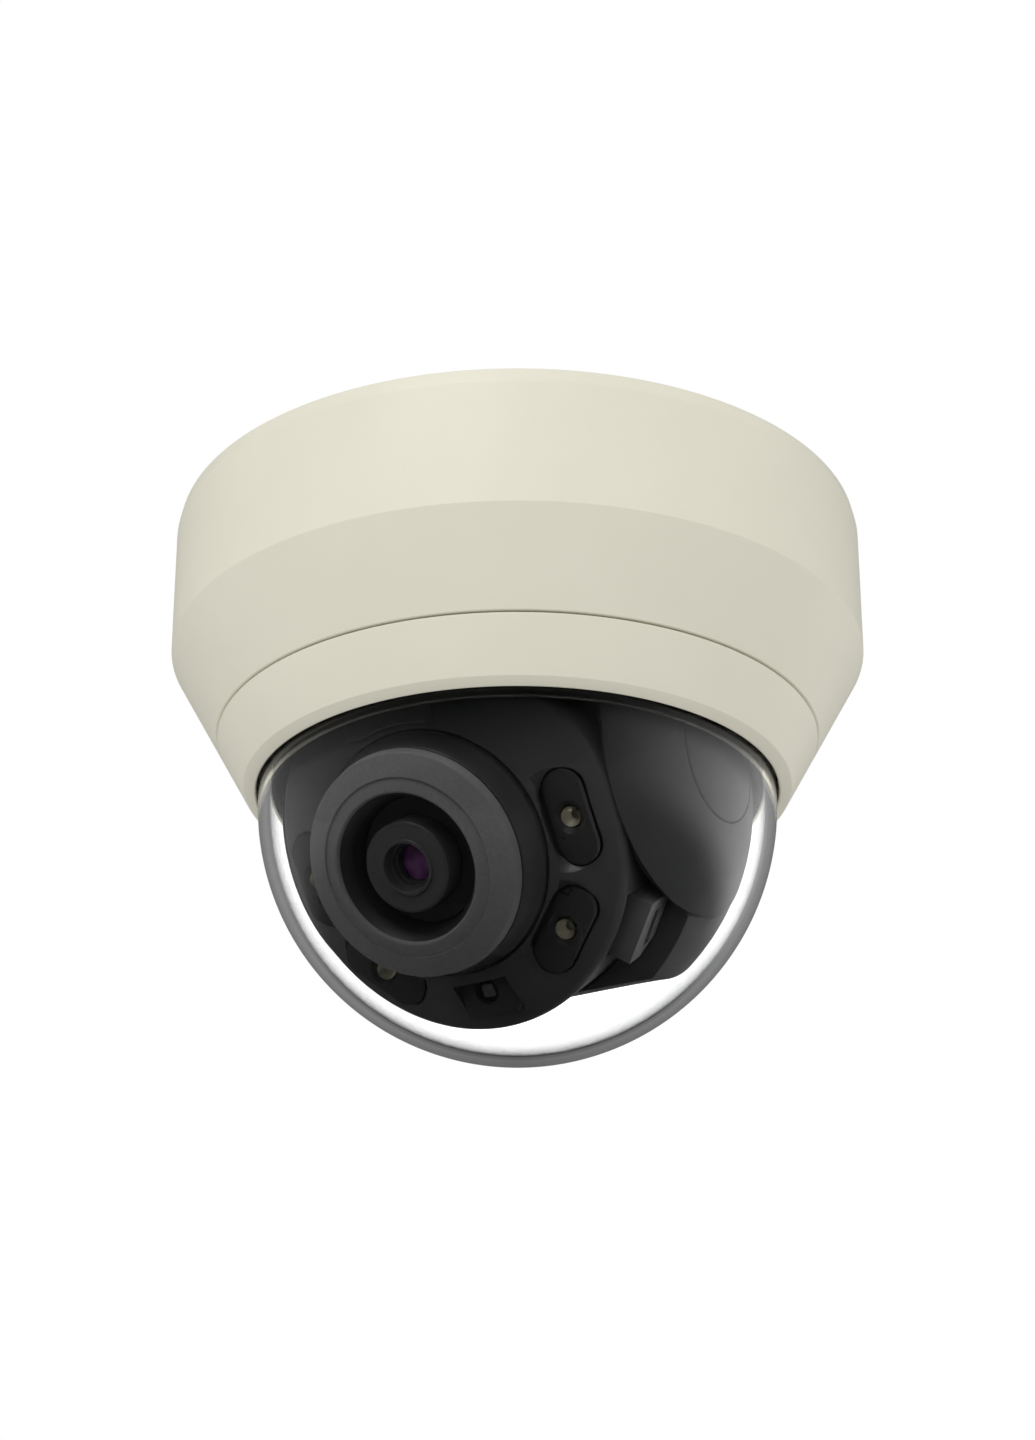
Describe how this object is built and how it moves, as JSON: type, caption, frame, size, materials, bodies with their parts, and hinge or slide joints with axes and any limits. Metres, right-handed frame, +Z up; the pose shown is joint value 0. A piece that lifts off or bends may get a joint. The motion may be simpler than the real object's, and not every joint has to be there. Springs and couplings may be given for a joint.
{
  "type": "dome CCTV camera",
  "caption": "Ceiling dome camera: an ivory twist-off housing with a clear bubble, and a black camera head inside that pans, tilts and rotates",
  "frame": {"origin": "centre of the base plate's face that meets the ceiling", "axes": "+Z up, out of the ceiling face, so the camera hangs to -Z; -Y is the front of the housing, and at rest the lens looks 32.5 degrees from it towards -X and 34.3 degrees down"},
  "size_m": [0.12, 0.12, 0.0954],
  "materials": {
    "ivory": "satin",
    "black": "satin",
    "clear": "polished",
    "lens_glass": "polished",
    "rubber": "matte",
    "steel": "brushed",
    "aluminium": "satin",
    "board": "satin",
    "base_metal": "satin"
  },
  "bodies": {
    "base": {"base_plate": "base_metal", "cable_grommet": "rubber", "chassis_screw_1": "steel", "chassis_screw_2": "steel", "chassis_screw_3": "steel", "main_board": "board", "board_screw_1": "steel", "board_screw_2": "steel", "board_screw_3": "steel", "network_jack": "steel", "power_terminal": "board", "sd_slot": "steel", "sd_card": "black", "processor": "black", "heat_sink": "aluminium", "reset_switch": "steel", "pan_base": "black", "pan_retainer": "black"},
    "cover_assembly": {"cover": "ivory", "trim_ring": "ivory", "dome_bubble": "clear", "dome_seal": "rubber", "dome_retainer": "black", "retainer_screw_1": "steel", "retainer_screw_2": "steel", "retainer_screw_3": "steel"},
    "reset": {"reset_button": "black"},
    "pan_yoke": {"yoke": "black", "ear_cover_right": "black", "ear_cover_left": "black", "pivot_cap_right": "black", "pivot_cap_left": "black", "pivot_screw_right": "steel", "pivot_screw_left": "steel"},
    "tilt_head": {"front_shell": "black", "rear_shell": "black", "led_board": "board", "led_1": "clear", "led_2": "clear", "led_3": "clear", "led_4": "clear", "led_plate_1": "black", "led_plate_2": "black", "led_plate_3": "black", "led_plate_4": "black", "light_sensor": "clear", "sensor_bezel": "black", "latch": "black"},
    "lens_rotator": {"lens_collar": "black", "foam_ring": "rubber", "lens_holder": "black", "sensor_board": "board", "image_sensor": "lens_glass"},
    "focus_barrel": {"lens_barrel": "black", "front_element": "lens_glass"},
    "filter": {"filter_slider": "black", "cut_filter": "lens_glass"}
  },
  "joints": [
    {"name": "cover_twist", "type": "hinge", "parent": "base", "child": "cover_assembly", "pos_m": [0, 0, -0.009], "axis": [0, 0, 1], "range_deg": [0, 15]},
    {"name": "reset_press", "type": "slide", "parent": "base", "child": "reset", "axis": [0, 0, -1], "range_m": [0, 0.0003], "stiffness_N_per_m": 800, "springref_m": -0.0003},
    {"name": "pan", "type": "hinge", "parent": "base", "child": "pan_yoke", "pos_m": [0, 0, -0.0512], "axis": [0, 0, 1], "range_deg": [-175, 175]},
    {"name": "tilt", "type": "hinge", "parent": "pan_yoke", "child": "tilt_head", "pos_m": [0, 0, -0.0512], "axis": [0.8434, -0.5373, 0], "range_deg": [-8.5, 55.7]},
    {"name": "lens_rotate", "type": "hinge", "parent": "tilt_head", "child": "lens_rotator", "pos_m": [-0.01243, -0.01951, -0.06698], "axis": [-0.4439, -0.6967, -0.5635], "range_deg": [-177.5, 177.5]},
    {"name": "focus_turn", "type": "hinge", "parent": "lens_rotator", "child": "focus_barrel", "pos_m": [-0.01332, -0.0209, -0.06811], "axis": [-0.4439, -0.6967, -0.5635], "range_deg": [-180, 180]},
    {"name": "filter_slide", "type": "slide", "parent": "lens_rotator", "child": "filter", "axis": [0.8434, -0.5373, 0], "range_m": [0, 0.007]}
  ]
}
